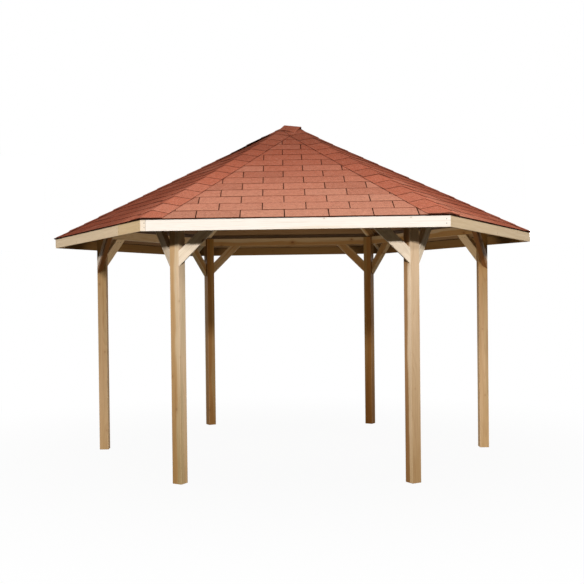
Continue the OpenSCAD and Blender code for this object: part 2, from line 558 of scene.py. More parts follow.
def hand_over(piece, slot, *nodes):
    """Gives a finished piece to the frame: it rides on the root and stands for those nodes."""
    if nodes:
        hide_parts(*nodes)
    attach(piece, "root")
    return piece


def show(mesh, name):
    piece = bpy.data.objects.new(name, mesh)
    bpy.context.scene.collection.objects.link(piece)
    return piece


def pour(shell, name):
    """Turns a finished shell into a mesh."""
    mesh = bpy.data.meshes.new(name)
    shell.to_mesh(mesh)
    shell.free()
    return mesh


def tidy_shell(shell, gap=0.00005, speck=0.00002, bend=0.004):
    """Joins the loose triangles of a copied shape and clears lines inside flat faces."""
    bmesh.ops.remove_doubles(shell, verts=shell.verts, dist=gap)
    bmesh.ops.dissolve_degenerate(shell, edges=shell.edges, dist=speck)
    bmesh.ops.dissolve_limit(shell, angle_limit=bend, verts=shell.verts, edges=shell.edges)


def saw(shell, point, normal):
    """Cuts a shell in two across a plane and leaves a gap as wide as the kerf."""
    halves = []
    for way in (1, -1):
        half = shell.copy()
        cut = bmesh.ops.bisect_plane(
            half, geom=half.verts[:] + half.edges[:] + half.faces[:],
            plane_co=Vector(point) + Vector(normal) * KERF / 2 * way,
            plane_no=Vector(normal) * -way, clear_outer=True,
        )
        rim = [item for item in cut["geom_cut"] if isinstance(item, bmesh.types.BMEdge)]
        bmesh.ops.edgeloop_fill(half, edges=rim)
        halves.append(half)
    shell.clear()
    for half in halves:
        part = pour(half, "half")
        shell.from_mesh(part)
        bpy.data.meshes.remove(part)
    bmesh.ops.recalc_face_normals(shell, faces=shell.faces)


def planed(node_name, along, across, finish, slot, seed, tone=0.0, cuts=(), round_share=1.0,
           heart=None, ruddy=0.0):
    """A timber of the frame with rounded edges, wood coordinates and a finish.

    along is the way of its grain, seed chooses its wood, and cuts are places to saw it at.
    """
    sharp_turn = math.radians(18)
    shell = bmesh.new()
    shell.from_mesh(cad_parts[node_name].data)
    tidy_shell(shell)
    for point, normal in cuts:
        saw(shell, point, normal)
    worn = shell.faces.layers.float.new("worn")
    cut = shell.faces.layers.float.new("cut")
    shell.normal_update()
    direction = Vector(along).normalized()
    for face in shell.faces:
        face[cut] = 1.0 if abs(face.normal.dot(direction)) > 0.95 else 0.0
    sharp = [
        edge for edge in shell.edges
        if len(edge.link_faces) == 2 and edge.calc_face_angle(0.0) > sharp_turn
    ]
    made = bmesh.ops.bevel(
        shell, geom=sharp, offset=sizes().edge_round * round_share, segments=2, profile=0.6,
        affect="EDGES", clamp_overlap=True,
    )
    for face in made["faces"]:
        face[worn] = 1.0
        face[cut] = 0.0
    bmesh.ops.triangulate(shell, faces=[face for face in shell.faces if len(face.verts) > 4])
    mesh = pour(shell, "wood_" + node_name)
    mesh.materials.append(finish_of(finish))
    write_grain(mesh, along, across, seed, tone, heart, ruddy)
    return hand_over(show(mesh, "wood_" + node_name), slot, node_name)


def slab(xs, ys, thick, profile=None, shaded_from=1e9):
    """A closed slab over a grid of x and y, its top and bottom moved by profile(x, y).

    The attribute felt is how bare its felt is: wholly on the bottom and nearly so on the rim. On
    the top past y = shaded_from, which shows only through the slits above, it is painted shade.
    """
    # Painted shade on the top where the slits show it; bare bitumen on the cut rim.
    slit_shade, bare_rim = 0.85, 0.86
    shell = bmesh.new()
    felt = shell.faces.layers.float.new("felt")
    rise = profile or (lambda x, y: (x, y, 0.0))
    low, high = (
        [[shell.verts.new(Vector(rise(x, y)) + UP * height) for y in ys] for x in xs]
        for height in (0.0, thick)
    )
    for i in range(len(xs) - 1):
        for j in range(len(ys) - 1):
            top = shell.faces.new((high[i][j], high[i + 1][j], high[i + 1][j + 1], high[i][j + 1]))
            top[felt] = slit_shade if ys[j] >= shaded_from else 0.0
            under = shell.faces.new((low[i][j], low[i][j + 1], low[i + 1][j + 1], low[i + 1][j]))
            under[felt] = 1.0
    rim = [(i, 0) for i in range(len(xs))]
    rim += [(len(xs) - 1, j) for j in range(1, len(ys))]
    rim += [(i, len(ys) - 1) for i in range(len(xs) - 2, -1, -1)]
    rim += [(0, j) for j in range(len(ys) - 2, 0, -1)]
    for (i, j), (k, l) in zip(rim, rim[1:] + rim[:1]):
        wall = shell.faces.new((low[i][j], low[k][l], high[k][l], high[i][j]))
        wall[felt] = bare_rim
    bmesh.ops.recalc_face_normals(shell, faces=shell.faces)
    return pour(shell, "slab")


def clean_mesh(mesh, gap=0.0001):
    """Merges what trimming has brought together."""
    shell = bmesh.new()
    shell.from_mesh(mesh)
    bmesh.ops.remove_doubles(shell, verts=shell.verts, dist=gap)
    bmesh.ops.dissolve_degenerate(shell, edges=shell.edges, dist=gap / 2)
    loose = [vert for vert in shell.verts if not vert.link_faces]
    bmesh.ops.delete(shell, geom=loose, context="VERTS")
    shell.to_mesh(mesh)
    shell.free()


# ---------------------------------------------------------------- node trees that repeat shapes

TREES = {}


def new_tree(name, inputs):
    """A geometry node tree with named inputs; returns the tree, its inputs and its output."""
    tree = bpy.data.node_groups.new(name, "GeometryNodeTree")
    face = tree.interface
    face.new_socket("Geometry", in_out="INPUT", socket_type="NodeSocketGeometry")
    for label, value in inputs.items():
        kind = {bool: "Bool", int: "Int", float: "Float", type(None): "Material"}[type(value)]
        made = face.new_socket(label, in_out="INPUT", socket_type="NodeSocket" + kind)
        if value is not None:
            made.default_value = value
    face.new_socket("Geometry", in_out="OUTPUT", socket_type="NodeSocketGeometry")
    entry = tree.nodes.new("NodeGroupInput").outputs
    leave = tree.nodes.new("NodeGroupOutput").inputs[0]
    return tree, entry, leave


# What a roof face tells a field of shapes: where it ends at the eaves and at the hips.
ROOF_FACE = {
    "Plan Reach": FASCIA_OUT, "Slope Cosine": PITCH_COS, "Slope Sine": PITCH_SIN,
    "Hip Share": HEX_TAN,
}


def draw_number(tree, seed, low=0.0, high=1.0, offset=0):
    """A random number for each point, from the tree's seed."""
    made = node(tree, "FunctionNodeRandomValue",
                {2: low, 3: high, "Seed": plus(tree, seed, float(offset))}, data_type="FLOAT")
    return made.outputs[1]


def finish_tree(tree, geometry, entry, leave):
    """Ends a tree: real geometry with its finish."""
    done = node(tree, "GeometryNodeSetMaterial",
                {"Geometry": geometry, "Material": entry["Finish"]})
    tree.links.new(done.outputs[0], leave)
    return tree


def real_instances(tree, points, shape, rotation):
    """Puts a shape on points and makes it real."""
    placed = node(
        tree, "GeometryNodeInstanceOnPoints",
        {"Points": points, "Instance": shape, "Rotation": rotation.outputs[0]},
    )
    return node(tree, "GeometryNodeRealizeInstances", {0: placed.outputs[0]}).outputs[0]


def toned_instances(tree, entry, points, angles):
    """Puts the tree's own shape on points, each with a tone of its own, and makes it real."""
    toned = node(
        tree, "GeometryNodeStoreNamedAttribute",
        {"Geometry": points, "Name": "tone", "Value": draw_number(tree, entry["Seed"], offset=1)},
        data_type="FLOAT", domain="POINT",
    )
    turned = node(tree, "FunctionNodeEulerToRotation", {0: angles})
    return real_instances(tree, toned.outputs[0], entry["Geometry"], turned)


# How a shape lies on the roof: its height above the boards, its tilt, how far a few shapes stand
# up and how far each is turned aside.
LYING = {
    "Rest Height": 0.0, "Tilt": 0.0, "Lift": 0.0, "Shape Length": 0.3, "Skew": 0.0,
    "Seed": 0, "Finish": None,
}


def lying(tree, entry, rarity):
    """How far each shape stands up, the tilt that this gives it, and its turn aside."""
    lifted = calc(tree, "POWER", draw_number(tree, entry["Seed"], offset=2), rarity)
    lifted = times(tree, lifted, entry["Lift"])
    tip = plus(tree, entry["Tilt"], calc(tree, "DIVIDE", lifted, entry["Shape Length"]))
    skewed = times(tree, draw_number(tree, entry["Seed"], -1.0, 1.0, 3), entry["Skew"])
    return lifted, tip, skewed


def roof_field_tree():
    """Courses of one shape over a roof face, ending at the hips.

    x runs along the eaves and y up the slope from the eaves; every second course is shifted.
    """
    tree, entry, leave = new_tree("Roof Field", {
        "Courses": 16, "Columns": 16, "Course Height": 0.144, "Column Pitch": 0.338,
        "Side Shift": 0.0, "Bond": 0.5, "Lowest": 0.0, "Wave": 0.0, "Plan Reach": 2.0,
        "Slope Cosine": 0.9, "Slope Sine": 0.4, "Hip Share": 0.577, "Reach Hips": False, **LYING,
    })
    # Room kept at the peak, the least part of a shape inside its hip that is kept, and the least
    # half width of a face that still gets one.
    peak_room, least_part, least_row = 0.03, 0.004, 0.02
    index = tree.nodes.new("GeometryNodeInputIndex").outputs[0]
    row = calc(tree, "DIVIDE", plus(tree, index, 0.5), entry["Columns"])
    row = calc(tree, "FLOOR", row)
    column = minus(tree, index, times(tree, row, entry["Columns"]))
    middle = times(tree, minus(tree, entry["Columns"], 1.0), 0.5)
    odd = times(tree, calc(tree, "MODULO", row, 2.0), entry["Bond"])
    x = plus(tree, minus(tree, column, middle), odd)
    x = times_plus(tree, x, entry["Column Pitch"], entry["Side Shift"])
    y = times_plus(tree, row, entry["Course Height"], entry["Lowest"])
    lifted, tip, skewed = lying(tree, entry, 4.0)
    points = node(
        tree, "GeometryNodePoints",
        {"Count": times(tree, entry["Courses"], entry["Columns"]),
         "Position": vector(tree, x, y, plus(tree, entry["Rest Height"], lifted))},
    ).outputs[0]

    place = tree.nodes.new("GeometryNodeInputPosition").outputs[0]
    px, py, pz = split(tree, place)
    top = times_plus(tree, pz, entry["Slope Sine"], entry["Plan Reach"])
    top = calc(tree, "DIVIDE", minus(tree, top, peak_room), entry["Slope Cosine"])
    py = calc(tree, "MINIMUM", py, top)
    limit = minus(tree, entry["Plan Reach"], times(tree, py, entry["Slope Cosine"]))
    limit = times_plus(tree, pz, entry["Slope Sine"], limit)
    limit = calc(tree, "MAXIMUM", times(tree, limit, entry["Hip Share"]), 0.0)

    half = times(tree, entry["Column Pitch"], 0.5)
    beyond = minus(tree, minus(tree, calc(tree, "ABSOLUTE", px), half), limit)
    outside = calc(tree, "GREATER_THAN", beyond, -least_part)
    outside = times(tree, outside, minus(tree, 1.0, entry["Reach Hips"]))
    over = calc(tree, "MAXIMUM", outside, calc(tree, "LESS_THAN", limit, least_row))
    points = node(
        tree, "GeometryNodeDeleteGeometry", {"Geometry": points, "Selection": over}, domain="POINT"
    ).outputs[0]
    angles = vector(tree, times(tree, tip, -1.0), 0.0, skewed)
    real = toned_instances(tree, entry, points, angles)

    held = calc(tree, "MAXIMUM", calc(tree, "MINIMUM", px, limit), times(tree, limit, -1.0))
    reached = times(tree, calc(tree, "SIGN", px), limit)
    new_x = node(
        tree, "GeometryNodeSwitch",
        {"Switch": entry["Reach Hips"], "False": held, "True": reached}, input_type="FLOAT",
    ).outputs[0]
    shifted = vector_calc(tree, "ADD", place, vector(tree, entry["Seed"]))[0]
    ripple = minus(tree, noise(tree, shifted, 5.5, 1.0), 0.5)
    new_z = plus(tree, pz, times(tree, ripple, entry["Wave"]))
    moved = node(
        tree, "GeometryNodeSetPosition",
        {"Geometry": real, "Position": vector(tree, new_x, py, new_z)},
    ).outputs[0]
    merged = node(tree, "GeometryNodeMergeByDistance", {"Geometry": moved, "Distance": 0.0001})
    return finish_tree(tree, merged.outputs[0], entry, leave)


def hip_row_tree():
    """A row of one shape up a hip: x runs up the hip, each is tipped, and a few stand up."""
    tree, entry, leave = new_tree("Hip Row", {
        "Count": 16, "Spacing": 0.162, "First": 0.0, **LYING,
    })
    # Caps are placed by eye, so each lies a little higher or lower than it should.
    stray = 0.004
    index = tree.nodes.new("GeometryNodeInputIndex").outputs[0]
    uneven = draw_number(tree, entry["Seed"], -stray, stray, 4)
    x = plus(tree, times_plus(tree, index, entry["Spacing"], entry["First"]), uneven)
    lifted, tip, skewed = lying(tree, entry, 5.0)
    points = node(
        tree, "GeometryNodePoints",
        {"Count": entry["Count"],
         "Position": vector(tree, x, 0.0, plus(tree, entry["Rest Height"], lifted))},
    ).outputs[0]
    real = toned_instances(tree, entry, points, vector(tree, 0.0, tip, skewed))
    return finish_tree(tree, real, entry, leave)


def fixings_tree():
    """Round heads on the points of a mesh, each facing the way that its attribute says."""
    tree, entry, leave = new_tree("Fixings", {
        "Head Width": 0.007, "Head Height": 0.001, "Taper": 0.72, "Sides": 10, "Finish": None,
    })
    facing = node(tree, "GeometryNodeInputNamedAttribute", {"Name": "facing"},
                  data_type="FLOAT_VECTOR")
    turned = node(tree, "FunctionNodeAlignRotationToVector", {"Vector": facing.outputs[0]},
                  axis="Z")
    wide = times(tree, entry["Head Width"], 0.5)
    head = node(
        tree, "GeometryNodeMeshCone",
        {"Vertices": entry["Sides"], "Radius Bottom": wide,
         "Radius Top": times(tree, wide, entry["Taper"]), "Depth": entry["Head Height"]},
    )
    points = node(tree, "GeometryNodeMeshToPoints", {"Mesh": entry["Geometry"]})
    real = real_instances(tree, points.outputs[0], head.outputs[0], turned)
    return finish_tree(tree, real, entry, leave)


def grow(shape, maker, values, name):
    """Runs a node tree on a small shape and returns the result as a plain piece."""
    if maker not in TREES:
        TREES[maker] = maker()
    tree = TREES[maker]
    seed_piece = show(shape, "seed_shape")
    step = seed_piece.modifiers.new("grow", "NODES")
    step.node_group = tree
    sockets = {
        item.name: item.identifier for item in tree.interface.items_tree if item.in_out == "INPUT"
    }
    for label, value in values.items():
        step[sockets[label]] = value
    seed_piece.update_tag()
    graph = bpy.context.evaluated_depsgraph_get()
    mesh = bpy.data.meshes.new_from_object(
        seed_piece.evaluated_get(graph), preserve_all_data_layers=True, depsgraph=graph
    )
    seed_piece.modifiers.clear()
    bpy.data.objects.remove(seed_piece)
    bpy.data.meshes.remove(shape)
    if not mesh.polygons:
        raise RuntimeError(f"{name} came out empty")
    mesh.name = name
    return show(mesh, name)


# ---------------------------------------------------------------- operators

class MakePosts(bpy.types.Operator):
    """Six square posts of planed and treated softwood"""
    bl_idname = "gazebo.posts"
    bl_label = "Posts"

    def execute(self, context):
        # The angle at which each post's pith lies, its tone at the foot and at the top, how much
        # darker its outward face is, and how red its heart is. The tones are partly the wood's own
        # and
        # partly painted shade: mostly darker towards the top and on the back posts, and on the
        # outward face.
        looks = {
            "right": (90, 0.20, 1.10, 0.0, 0.1), "back_right": (270, 1.00, 0.90, 0.0, 0.0),
            "back_left": (250, 0.72, 1.00, 0.0, 0.0), "left": (60, 0.36, 1.00, 0.0, 0.0),
            "front_left": (195, 0.05, 0.32, 0.14, 0.0), "front_right": (165, 0.0, 0.0, 0.46, 0.7),
        }
        for number, corner in enumerate(CORNERS):
            out = flat(corner_angle(number))
            way, low, high, outer, ruddy = looks[corner]
            piece = planed("post_" + corner, UP, UP.cross(out), "post", "post_timber",
                           100 + number, heart=flat(math.radians(way)), ruddy=ruddy)
            points = vertex_array(piece.data)
            # Painted shade, partly the wood's tone: it changes up the post and darkens the outward
            # face.
            shades = low + (high - low) * points[:, 2] / points[:, 2].max()
            reach = points @ np.array(out)
            shades += outer * (reach > reach.max() - FLUSH)
            write_points(piece.data, "tone", shades)
        return {"FINISHED"}


class MakeBeams(bpy.types.Operator):
    """Six beams between the post tops"""
    bl_idname = "gazebo.beams"
    bl_label = "Beams"

    def execute(self, context):
        for number, side, _, along in sides():
            # Beams are darker, partly as the wood and partly as painted shade under the roof.
            shade = 0.55 if side == "back" else 0.45
            planed("beam_" + side, along, UP, "frame", "beam_timber", 200 + number, shade)
        return {"FINISHED"}


class MakeBraces(bpy.types.Operator):
    """Twelve knee braces between posts and beams"""
    bl_idname = "gazebo.braces"
    bl_label = "Knee Braces"

    def execute(self, context):
        for number, side, out, along in sides():
            for hand, way in (("left", 1), ("right", -1)):
                run = along * way + UP
                name = f"{hand}_brace_{side}"
                # Those on the two back posts are darker, partly as the wood and partly as painted
                # shade; two side ones show a red heart below.
                on_back = side == "back" or name in (
                    "left_brace_back_left", "right_brace_back_right")
                red = name in ("left_brace_front_left", "right_brace_front_right")
                shade = 0.62 if on_back else 0.30 if side == "front_left" else 0.0
                behind = out if side in ("back_left", "back_right") and not on_back else -out
                down = (along * way - UP).normalized()
                piece = planed(name, run, out, "frame", "brace_timber", 300 + 10 * number + way,
                               shade, heart=down if red else behind, ruddy=1.0 if red else 0.0)
                if red:
                    # Painted shade on the underside of the red ones.
                    reach = vertex_array(piece.data) @ np.array(down)
                    under = reach > reach.max() - FLUSH
                    write_points(piece.data, "tone", np.where(under, 0.55, 0.10))
        return {"FINISHED"}


class MakeRafters(bpy.types.Operator):
    """Six hip rafters and the king block where they meet"""
    bl_idname = "gazebo.rafters"
    bl_label = "Hip Rafters"

    def execute(self, context):
        # Rafters and king block are a little darker, partly as the wood and partly as painted
        # shade.
        for number, corner in enumerate(CORNERS):
            place = hip_frame(number).to_3x3()
            planed("hip_rafter_" + corner, place.col[0], place.col[1], "frame",
                   "rafter_timber", 400 + number, 0.2)
        planed("king_block", UP, (1.0, 0.0, 0.0), "frame", "rafter_timber", 410, 0.25)
        return {"FINISHED"}


class MakeBoards(bpy.types.Operator):
    """Matched boards of the six roof faces, laid level and mitred at the hips"""
    bl_idname = "gazebo.boards"
    bl_label = "Roof Boards"

    def board_shape(self, thick, cover, groove):
        """One metre of a board: a flat top, and an underside with its two edges chamfered."""
        near, far, chin = 0.0002, cover - 0.0004, groove - thick
        section = [
            (near, 0.0), (far, 0.0), (far, chin), (far - groove, -thick),
            (near + groove, -thick), (near, chin),
        ]
        shell = bmesh.new()
        ends = [[shell.verts.new((x, y, z)) for y, z in section] for x in (-0.5, 0.5)]
        shell.faces.new(ends[0])
        shell.faces.new(ends[1])
        for here, there in zip(range(6), [1, 2, 3, 4, 5, 0]):
            shell.faces.new((ends[0][here], ends[0][there], ends[1][there], ends[1][here]))
        bmesh.ops.recalc_face_normals(shell, faces=shell.faces)
        return pour(shell, "board")

    def execute(self, context):
        chosen = sizes()
        thick = (DECK_PEAK - UNDER_PEAK) * PITCH_COS
        lowest = (FASCIA_OUT - FASCIA_IN) / PITCH_COS + thick * PITCH_SIN / PITCH_COS
        cover = chosen.board_cover
        # Whole boards only, so the last one ends short of the king block.
        limit = (FASCIA_OUT - 0.07) / PITCH_COS
        count = int((limit - lowest) / cover)
        for number, side in enumerate(SIDES):
            shape = self.board_shape(thick, cover, chosen.board_groove)
            piece = grow(shape, roof_field_tree, {
                "Courses": count, "Columns": 1, "Course Height": cover, "Column Pitch": 1.0,
                "Bond": 0.0, "Lowest": lowest, "Reach Hips": True, "Seed": 510 + number,
                "Finish": finish_of("board"), **ROOF_FACE,
            }, "boarding_" + side)
            self.write_wood(piece.data, cover, lowest, number)
            piece.data.transform(face_frame(number))
            hand_over(piece, "board_timber", "roof_boards_" + side)
        return {"FINISHED"}

    def write_wood(self, mesh, cover, lowest, number):
        """Wood coordinates: each board has a place of its own in the log."""
        points = vertex_array(mesh)
        board = np.floor((points[:, 1] - lowest) / cover + 0.001)
        draw = random.Random(520 + number)
        shifts = np.array([
            (draw.uniform(-60, 60), draw.uniform(0.02, 0.09), draw.uniform(0.02, 0.06))
            for _ in range(int(board.max()) + 1)
        ])
        local = points.copy()
        local[:, 1] = points[:, 1] - lowest - board * cover
        write_points(mesh, "grain", local + shifts[board.astype(int)], "FLOAT_VECTOR")
        tones = np.zeros(len(points), np.float32)
        mesh.attributes["tone"].data.foreach_get("value", tones)
        write_points(mesh, "tone", tones * 0.8)


class MakeFascias(bpy.types.Operator):
    """Six fascia boards, mitred at the corners; two are pieced"""
    bl_idname = "gazebo.fascias"
    bl_label = "Fascia Boards"

    def execute(self, context):
        for number, side, out, along in sides():
            # Where a board is pieced, and how much darker its shorter piece is.
            splice, extra = {
                "front_left": (SPLICE, 0.12), "front": (0.04 - HALF_SIDE, 0.22),
            }.get(side, (None, 0.0))
            cuts = [] if splice is None else [(out * FASCIA_OUT + along * splice, along)]
            # The sides and back are darker than the front, partly as the wood and partly as
            # painted shade.
            shade = {"front": 0.0, "front_left": 0.50, "front_right": 0.53}.get(side, 0.4)
            piece = planed("fascia_" + side, along, UP, "fascia", "fascia_timber", 600 + number,
                           shade, cuts, 0.6)
            points = vertex_array(piece.data)
            tones = np.full(len(points), shade)
            if splice is not None:
                place = points @ np.array(along)
                tones[place > splice if splice > 0 else place < splice] += extra
            # Painted shade: the inner face, which the sun never reaches, is darker and browner.
            inner = points @ np.array(out) < (FASCIA_OUT + FASCIA_IN) / 2
            write_points(piece.data, "tone", np.where(inner, 0.78, tones))
            write_points(piece.data, "painted_gloom", np.where(inner, 1.0, 0.0))
        return {"FINISHED"}


class MakeFixings(bpy.types.Operator):
    """Nail heads in the fascia boards and screw heads in the braces"""
    bl_idname = "gazebo.fixings"
    bl_label = "Nails and Screws"

    def place_heads(self, spots, width, height, name):
        """A head on each spot, which is a point and the way that it faces."""
        points, ways = zip(*spots)
        mesh = bpy.data.meshes.new("spots")
        mesh.from_pydata(points, [], [])
        write_points(mesh, "facing", ways, "FLOAT_VECTOR")
        piece = grow(mesh, fixings_tree, {
            "Head Width": width, "Head Height": height, "Finish": finish_of("steel"),
        }, name)
        hand_over(piece, None)

    def execute(self, context):
        chosen = sizes()
        nails, screws = [], []
        sunk = 0.0003
        # Nails lie at two heights of a board, beside its ends and a splice.
        nail_ends = (HALF_SIDE - 0.030, 0.030 - HALF_SIDE)
        nail_heights = [FASCIA_LOW + (EAVES_Z - FASCIA_LOW) * share for share in (0.30, 0.68)]
        # Screws lie so far from the post and so far below the beam.
        screw_spots = ((0.045, 0.265), (0.075, 0.235), (0.255, 0.030), (0.215, 0.030))
        clear = BEAM_IN * HEX_TAN - POST_WIDTH / 2 / HEX_COS
        for number, side, out, along in sides():
            ends = nail_ends + ((SPLICE - 0.02, SPLICE + 0.02) if side == "front_left" else ())
            for end in ends:
                for height in nail_heights:
                    spot = out * (FASCIA_OUT - sunk) + along * end
                    nails.append((spot + UP * height, out))
            for way in (1, -1):
                for back, down in screw_spots:
                    spot = out * (BEAM_IN + sunk) + along * way * (clear - back)
                    screws.append((spot + UP * (BEAM_LOW - down), -out))
        self.place_heads(nails, chosen.nail_head, 0.0012, "fascia_nails")
        self.place_heads(screws, chosen.screw_head, 0.0016, "brace_screws")
        return {"FINISHED"}


class MakeShingles(bpy.types.Operator):
    """Courses of shingle tabs over the six roof faces, each course half a tab aside"""
    bl_idname = "gazebo.shingles"
    bl_label = "Shingle Courses"

    def execute(self, context):
        chosen = sizes()
        length = 2 * chosen.course + 0.010
        # A tab's lower edge lies on two others; the most curled one stands up by the lift.
        rest = 2.15 * chosen.tab_thick
        lift = 0.0022
        lowest = -(SHINGLE_OUT - FASCIA_OUT - (rest + chosen.tab_thick) * PITCH_SIN - lift)
        courses = int((FASCIA_OUT - 0.10) / PITCH_COS / chosen.course) + 1
        wide = chosen.tab_width - chosen.tab_slit
        xs = [wide * (share - 0.5) for share in (0.0, 0.33, 0.67, 1.0)]
        ys = [length * share for share in (0.0, 0.25, 0.49, 1.0)]
        for number, side in enumerate(SIDES):
            shift = -chosen.bond_shift + chosen.tab_width / 2
            if side != "front":
                shift = random.Random(700 + number).uniform(-0.5, 0.5) * chosen.tab_width
            # Past one course up, each tab's top gets painted shade, which shows in the slits
            # above.
            tab = slab(xs, ys, chosen.tab_thick, shaded_from=chosen.course)
            piece = grow(tab, roof_field_tree, {
                "Courses": courses, "Columns": 11, "Course Height": chosen.course,
                "Column Pitch": chosen.tab_width, "Side Shift": shift, "Bond": 0.5,
                "Lowest": lowest / PITCH_COS, "Rest Height": rest, "Tilt": rest / length,
                "Shape Length": length, "Lift": lift, "Skew": 0.003, "Wave": 0.002,
                "Seed": 710 + number, "Finish": finish_of("shingle"), **ROOF_FACE,
            }, "shingles_" + side)
            piece.data.transform(face_frame(number))
            hand_over(piece, "shingles", "shingle_roof")
        return {"FINISHED"}


class MakeHipCaps(bpy.types.Operator):
    """Folded caps lapped up each hip, their lowest ones trimmed to the eaves"""
    bl_idname = "gazebo.hip_caps"
    bl_label = "Hip Caps"

    def execute(self, context):
        chosen = sizes()
        length = chosen.cap_course * 1.25
        # Height of a cap's lower edge above the one that it lies on, and roundness of the fold.
        step, fold = 0.0052, 0.006
        fold_cos, fold_sin = hip_fold()

        def folded(x, y):
            return x, y * fold_cos, (fold - math.hypot(y, fold)) * fold_sin

        xs = [length * share for share in (0.0, 0.35, 0.7, 1.0)]
        side = chosen.cap_side
        ys = [-side, -side * 0.5, -0.014, 0.0, 0.014, side * 0.5, side]
        hip_length = FASCIA_OUT / HEX_COS / hip_frame(0).col[0].xy.length
        count = int(hip_length / chosen.cap_course) + 2
        for number, corner in enumerate(CORNERS):
            cap = slab(xs, ys, FELT_THICK, folded)
            piece = grow(cap, hip_row_tree, {
                "Count": count, "Spacing": chosen.cap_course, "First": 0.008 - chosen.cap_course,
                "Rest Height": 0.0062 + step, "Tilt": step / length, "Lift": 0.0035,
                "Shape Length": length, "Skew": 0.012, "Seed": 810 + number,
                "Finish": finish_of("shingle"),
            }, "hip_caps_" + corner)
            mesh = piece.data
            mesh.transform(hip_frame(number))
            put_vertices(mesh, self.trimmed(vertex_array(mesh), number))
            clean_mesh(mesh)
            fill_points(mesh, "cap", 1.0)
            hand_over(piece, "shingles", "shingle_roof")
        return {"FINISHED"}

    def trimmed(self, points, number):
        """Draws points back to the eaves, off the neighbouring hips and under the peak cap."""
        within_edge, off_axis, overlap = 0.0008, 0.02, 0.012
        uphill = np.array(hip_frame(number).col[0][:3])
        hip = flat(corner_angle(number))
        out, across = np.array(hip), np.array(UP.cross(hip))
        over = plan_reach(points) - (SHINGLE_OUT - within_edge)
        per_metre = -uphill[:2] @ np.array(flat(corner_angle(number) + math.radians(30))[:2])
        points = points + np.outer(np.maximum(over, 0.0) / per_metre, uphill)
        short = np.maximum(off_axis - points @ out, 0.0) / np.hypot(*uphill[:2])
        points = points - np.outer(short, uphill)
        reach = points @ out
        aside = points @ across
        # Caps end at the middle of the faces beside them, but the front right ones cross over.
        room = np.maximum(reach, 0.0) * HEX_TAN
        crossing = CORNERS[number] == "front_right"
        far_room = np.maximum(reach, 0.0) * math.tan(math.radians(60)) - 0.02
        low_room = np.maximum(far_room, room) if crossing else room
        held = np.clip(aside, -low_room, room + overlap)
        points = points + np.outer(held - aside, across)
        radius = np.hypot(points[:, 0], points[:, 1])
        near = np.clip((0.40 - radius) / 0.24, 0.0, 1.0)
        near = near * near * (3 - 2 * near)
        points[:, 2] += (0.015 if crossing else 0.008) * near
        if CORNERS[number] == "left":
            # The flaps on the front stand off near the peak and show their dark undersides.
            flap = np.clip(held / sizes().cap_side, 0.0, 1.0) ** 2
            points[:, 2] += 0.018 * flap * np.clip((0.75 - reach) / 0.35, 0.0, 1.0)
        # Near the peak they are pressed down under the peak cap, one on another.
        under_cap, fall, lap = 0.013, 0.05, 0.0004
        ceiling = PEAK_TOP - under_cap - fall * radius + lap * number
        points[:, 2] -= 0.9 * np.maximum(points[:, 2] - ceiling, 0.0)
        return points


class MakePeakCap(bpy.types.Operator):
    """The last caps, laid over the peak one on another"""
    bl_idname = "gazebo.peak_cap"
    bl_label = "Peak Cap"

    def lay(self, stations, name):
        """A sheet laid through stations, from its lower edge up and over.

        Each has the place of its left end and its right end, and its rise in the middle.
        """
        rows = []
        steps, across = 4, 8
        for here, there in zip(stations, stations[1:]):
            for share in (step / steps for step in range(steps)):
                left, right = (Vector(here[k]).lerp(Vector(there[k]), share) for k in (0, 1))
                rows.append((left, right, here[2] + (there[2] - here[2]) * share))
        rows.append((Vector(stations[-1][0]), Vector(stations[-1][1]), stations[-1][2]))

        def draped(x, y):
            left, right, rise = rows[int(x)]
            spot = left.lerp(right, y)
            height = spot.z + rise * math.sin(math.pi * y)
            return spot.x, spot.y, min(height, PEAK_TOP - FELT_THICK)

        ys = [share / across for share in range(across + 1)]
        mesh = slab(list(range(len(rows))), ys, FELT_THICK, draped)
        fill_points(mesh, "tone", 0.45)
        mesh.materials.append(finish_of("shingle"))
        return hand_over(show(mesh, name), "shingles", "roof_cap")

    def on_deck(self, x, y, lift):
        """A point above the boards' top."""
        out = max(Vector((x, y, 0.0)).dot(flat(side_angle(k))) for k in range(6))
        return x, y, DECK_PEAK - SLOPE * out + lift

    def execute(self, context):
        deck = self.on_deck
        self.lay([
            (deck(0.215, 0.115, 0.021), deck(0.015, 0.245, 0.021), 0.012),
            (deck(0.12, 0.02, 0.026), deck(-0.08, 0.13, 0.024), 0.006),
            (deck(0.03, -0.10, 0.020), deck(-0.13, -0.03, 0.018), 0.004),
        ], "peak_cap_under")
        # Its last cap is stiff: it bends over the peak and stands off to the right.
        self.lay([
            (deck(-0.112, -0.195, 0.024), deck(0.046, -0.251, 0.022), 0.012),
            ((-0.049, -0.082, PEAK_TOP - FELT_THICK), (0.115, -0.150, 3.1500), 0.0),
            ((-0.015, 0.000, 3.178), deck(0.118, -0.110, 0.024), 0.0),
            (deck(0.04, 0.10, 0.026), deck(0.17, 0.02, 0.024), 0.0),
        ], "peak_cap")
        return {"FINISHED"}


